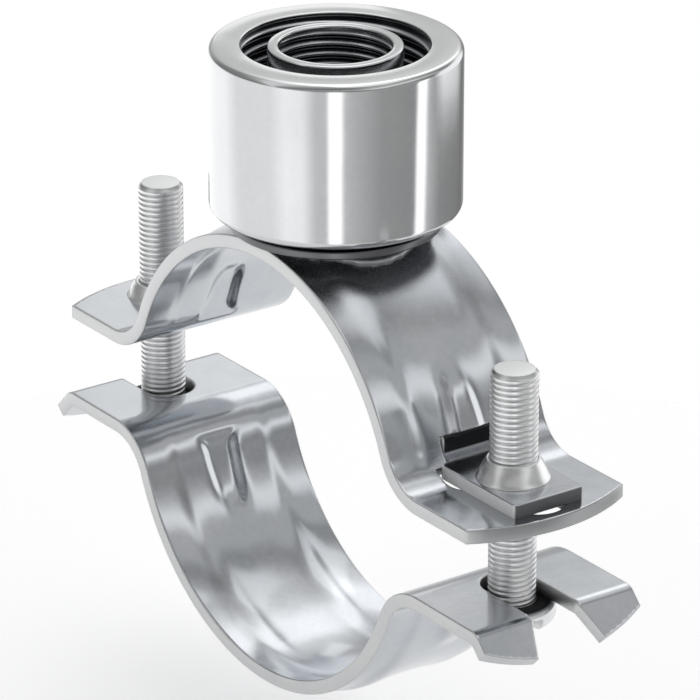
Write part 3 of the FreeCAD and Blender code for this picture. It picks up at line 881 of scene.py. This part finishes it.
def plate_slab(name, plan, bottom, top, upright_skin=False):
    """A slab of sheet with the given plan, its cut edges rounded a little. Its skins lie flat, or face
    along x where it stands upright."""
    corner_round, edge_round, sharp_angle = 0.8, 0.28, 0.6
    shape = bmesh.new()
    corners = [shape.verts.new((x * MM, y * MM, bottom * MM)) for x, y in plan]
    slab = shape.faces.new(corners)
    raised = bmesh.ops.extrude_face_region(shape, geom=[slab])
    bmesh.ops.translate(shape, vec=(0, 0, (top - bottom) * MM),
                        verts=[v for v in raised["geom"] if isinstance(v, bmesh.types.BMVert)])
    bmesh.ops.recalc_face_normals(shape, faces=shape.faces[:])
    corners = [e for e in shape.edges if abs(e.verts[0].co.z - e.verts[1].co.z) > MM
               and abs(e.verts[0].co.y) > (plate_half - 0.5) * MM]
    bmesh.ops.bevel(shape, geom=corners, offset=corner_round * MM, segments=5, affect="EDGES", profile=0.5)
    sharp = [e for e in shape.edges if len(e.link_faces) == 2 and e.calc_face_angle(0) > sharp_angle]
    bmesh.ops.bevel(shape, geom=sharp, offset=edge_round * MM, segments=3, affect="EDGES", profile=0.5)
    mesh = bpy.data.meshes.new(name)
    for face in shape.faces:
        face.smooth = True
        face.material_index = int(abs(face.normal.y) > 0.7 if upright_skin else abs(face.normal.z) < 0.3)
    shape.to_mesh(mesh)
    shape.free()
    mesh.materials.append(zinc_plate)
    mesh.materials.append(zinc_plate_edge)
    piece = placed(name, mesh)
    weighted = piece.modifiers.new("weighted", "WEIGHTED_NORMAL")
    weighted.keep_sharp = True
    applied(piece, weighted)
    return piece


plate_collar = collar("plate_collar", screw_right, plate_top, height=3.4, foot=5.85, top=4.5, hole=3.98)
slab = plate_slab("nut_plate_slab", [
    (plate_inner, -plate_half), (plate_outer, -plate_half), (plate_outer, plate_half),
    (plate_inner, plate_half), (plate_inner, tongue_half), (tongue_start, tongue_half),
    (tongue_start, -tongue_half), (plate_inner, -tongue_half)], plate_bottom, plate_top)
hook = plate_slab("tongue_end", [
    (hook_start, -tongue_half), (hook_end, -tongue_half), (hook_end, tongue_half),
    (hook_start, tongue_half)], plate_top - 1.0, plate_top + hook_rise, upright_skin=True)
nut_plate = joined("hooked_nut_plate", slab, hook, plate_collar)
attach(nut_plate, "upper_half")
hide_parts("nut_plate")


# Screws: M8, threaded over their whole length, with a round slotted head under the lower ear.
# The thread is rolled and bright zinc plated, with painted shade keeping its roots a little darker than its
# crests.
head_seat, shank, head_height, head_radius = -(ear_face + sheet) - 0.05, 40.5, 3.8, 7.3
screw_tip = head_seat + shank
slot_width, slot_depth, cross_length = 1.9, 2.2, 9.0
thread_crest, thread_depth, thread_pitch = 3.95, 0.27, 0.94


def screw_root_and_seat_shade(tree, place, base, gloss):
    """Painted shade: darker roots, and a dark seat where the head lies against the ear."""
    x, y, z = tree.axes(place)
    x = x - screw_left - x.math("GREATER_THAN", 0.0) * (screw_right - screw_left)
    radius = (x * x + y * y).math("SQRT")
    root = ((thread_crest - 0.05 - radius) / 0.3).held() * z.math("LESS_THAN", screw_tip - 0.1)
    base = tree.mix(root, base, (0.56, 0.565, 0.57))
    seat_shade = ((z - head_seat + 0.45) / 0.3).held() * radius.math("GREATER_THAN", thread_crest + 0.1)
    return tree.mix(seat_shade, base, (0.03, 0.03, 0.032)), gloss + seat_shade * 0.3


zinc_screw = metal("zinc_screw", (0.74, 0.745, 0.75), (0.82, 0.825, 0.83),
                   roughness=0.34, haze=0.10, waves=0.02, grain=0.002, extra=screw_root_and_seat_shade)


def screw(name, x, body):
    bottom = head_seat - head_height
    head = lathe("screw_head", rounded(
        [(0, bottom), (head_radius, bottom), (head_radius, head_seat - 0.5), (head_radius - 1.5, head_seat),
         (3.4, head_seat), (3.4, head_seat - 1), (0, head_seat - 1)],
        [0, 2.0, 0.4, 0.2, 0, 0, 0], steps=7), zinc_screw, x, steps=96, closed=False)
    recess = bmesh.new()
    for length, width in ((2 * head_radius + 1.4, slot_width), (slot_width, cross_length)):
        made = bmesh.ops.create_cube(recess, size=1.0)
        bmesh.ops.scale(recess, vec=(length * MM, width * MM, 2 * slot_depth * MM), verts=made["verts"])
        bmesh.ops.translate(recess, vec=(x * MM, 0, bottom * MM), verts=made["verts"])
    data = bpy.data.meshes.new("recess")
    recess.to_mesh(data)
    recess.free()
    cutter = placed("recess", data)
    carve = head.modifiers.new("carve", "BOOLEAN")
    carve.object, carve.solver, carve.use_self = cutter, "EXACT", True
    carve.operation = "DIFFERENCE"
    applied(head, carve)
    bpy.data.objects.remove(cutter)
    thread = wound_thread("screw_thread", thread_crest, thread_depth, thread_pitch, shank + 0.2,
                          (x, 0, head_seat - 0.2), zinc_screw, fade=0.9, chamfer=0.7, crest=0.5)
    tip = lathe("screw_tip", [(3.36, screw_tip - 0.02), (3.1, screw_tip), (0, screw_tip)],
                zinc_screw, x, steps=48, closed=False)
    piece = joined(name, head, thread, tip)
    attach(piece, body)
    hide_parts(body)


screw("left_slotted_screw", screw_left, "left_screw")
screw("right_slotted_screw", screw_right, "right_screw")


# Studio: a small round pale table in a white room, with soft upright and overhead panels and the grey
# gaps between them, which draw the streaks on the plated parts. The camera sees the room as plain white.
# The table lies low enough for the lower half to come down on its screws.
def table_top():
    radius, drop, steps = 0.165, 0.016, 96
    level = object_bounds()[0][2] - drop
    turns = [2 * math.pi * i / steps for i in range(steps)]
    mesh = bpy.data.meshes.new("table")
    mesh.from_pydata([(radius * math.cos(a), radius * math.sin(a), level) for a in turns], [],
                     [tuple(range(steps))])
    material = bpy.data.materials.new("pale_table")
    material.use_nodes = True
    material.node_tree.nodes.clear()
    tree = Tree(material.node_tree)
    grain = tree.noise(tree.add("ShaderNodeTexCoord", out="Object"), 3.0, 4)
    tint = tree.mix(grain, (0.93, 0.93, 0.93), (0.95, 0.95, 0.95))
    paint = tree.add("ShaderNodeBsdfDiffuse", None, {"Color": tint})
    camera_ray, glossy_ray, clear_ray = (tree.add("ShaderNodeLightPath", out=f"Is {kind} Ray")
                                         for kind in ("Camera", "Glossy", "Transmission"))
    seen = (camera_ray + glossy_ray + clear_ray).held()
    glow = tree.add("ShaderNodeEmission", None, {"Color": (1.0, 1.0, 1.0), "Strength": seen * 0.3})
    surface = tree.add("ShaderNodeAddShader", None, {0: paint, 1: glow})
    tree.add("ShaderNodeOutputMaterial", None, {"Surface": surface})
    mesh.materials.append(material)
    placed("table", mesh)


table_top()


def soft_box(name, azimuth, elevation, distance, size, brightness):
    """An oblong lamp that faces the clamp from a direction given in degrees."""
    a, e = math.radians(azimuth), math.radians(elevation)
    place = Vector((math.sin(a) * math.cos(e), -math.cos(a) * math.cos(e), math.sin(e))) * distance
    lamp = bpy.data.lights.new(name, "AREA")
    lamp.shape, lamp.size, lamp.size_y = "RECTANGLE", size[0], size[1]
    lamp.energy = brightness * math.pi * size[0] * size[1]
    piece = placed(name, lamp)
    piece.location = place
    piece.rotation_euler = (-place).to_track_quat("-Z", "Y").to_euler()


soft_box("overhead", 150, 76, 1.8, (1.2, 1.0), 0.36)
soft_box("left_panel", 238.6, 20.7, 0.472, (0.09, 0.09), 0.5)

world = bpy.data.worlds.new("room")
bpy.context.scene.world = world
world.use_nodes = True
world.node_tree.nodes.clear()
room = Tree(world.node_tree)
direction = room.add("ShaderNodeTexCoord", out="Generated")
x, y, z = (room.add("ShaderNodeSeparateXYZ", None, {0: direction}, out=k) for k in range(3))


def panels(turn, levels):
    """Brightness round one axis, from (degrees, brightness) pairs, smooth between them."""
    stops = [((degrees + 180) / 360, (level / 2,) * 3) for degrees, level in levels]
    ramp = room.add("ShaderNodeValToRGB", {"stops": stops}, {0: turn / (2 * math.pi) + 0.5})
    return room.add("ShaderNodeRGBToBW", None, {0: ramp}) * 2.0


# Round the room, in degrees to the right of the camera
to_right = x * rightwards.x + y * rightwards.y
to_front = x * rightwards.y - y * rightwards.x
walls = panels(to_right.math("ARCTAN2", to_front), [
    (-180, 0.6), (-170, 1.35), (-116, 1.4), (-98, 1.1), (-60, 1.1), (-46, 1.35), (-30, 1.3), (-18, 0.8),
    (-8, 0.75), (-5, 1.9), (4, 1.9), (8, 0.75), (26, 0.58), (42, 0.44), (76, 0.38), (79, 1.8), (87, 1.8),
    (91, 0.7), (108, 0.38), (140, 0.3), (156, 0.22), (166, 0.38), (180, 0.6)])
# Over the clamp, in degrees from straight up, across the pipe. The panels hang askew, and their light
# falls off towards both ends of the pipe
askew_from, askew_least, askew = 0.534, -0.4, 0.87
slant = x.math("ARCTAN2", z) + (y - askew_from).math("MAXIMUM", askew_least) * askew
ceiling = panels(slant, [
    (-180, 0.5), (-90, 0.5), (-66, 0.58), (-58, 0.82), (-49, 1.12), (-44, 1.62), (-26, 1.62), (-18, 1.1),
    (-6, 0.76), (2, 0.72), (10, 0.46), (18, 0.37), (25, 0.62), (38, 0.56), (43, 1.12), (49, 1.2), (55, 0.62),
    (64, 0.36), (90, 0.5), (180, 0.5)])
ceiling = ceiling * (1.0 - ((y - 0.6) / 0.3).held() * 0.4) * (1.0 - ((0.05 - y) / 0.3).held() * 0.45)
aloft = ((z + 0.08) / 0.16).held()
# A long white card stands upright far along the pipe's axis, behind the clamp
card_foot, card_top, card_side, card_brightness = -0.34, 0.4, 0.86, 1.35
card = (((z - card_foot) / 0.06).held() * ((card_top - z) / 0.15).held() * ((y - card_side) / 0.07).held())
wall = (walls * (1.0 - aloft) + ceiling * aloft) * (1.0 - card) + card * card_brightness
to_camera = room.add("ShaderNodeLightPath", out="Is Camera Ray")
strength = wall * (1.0 - to_camera) + to_camera
light = room.add("ShaderNodeBackground", None, {"Color": (1.0, 1.0, 1.0), "Strength": strength})
room.add("ShaderNodeOutputWorld", None, {"Surface": light})
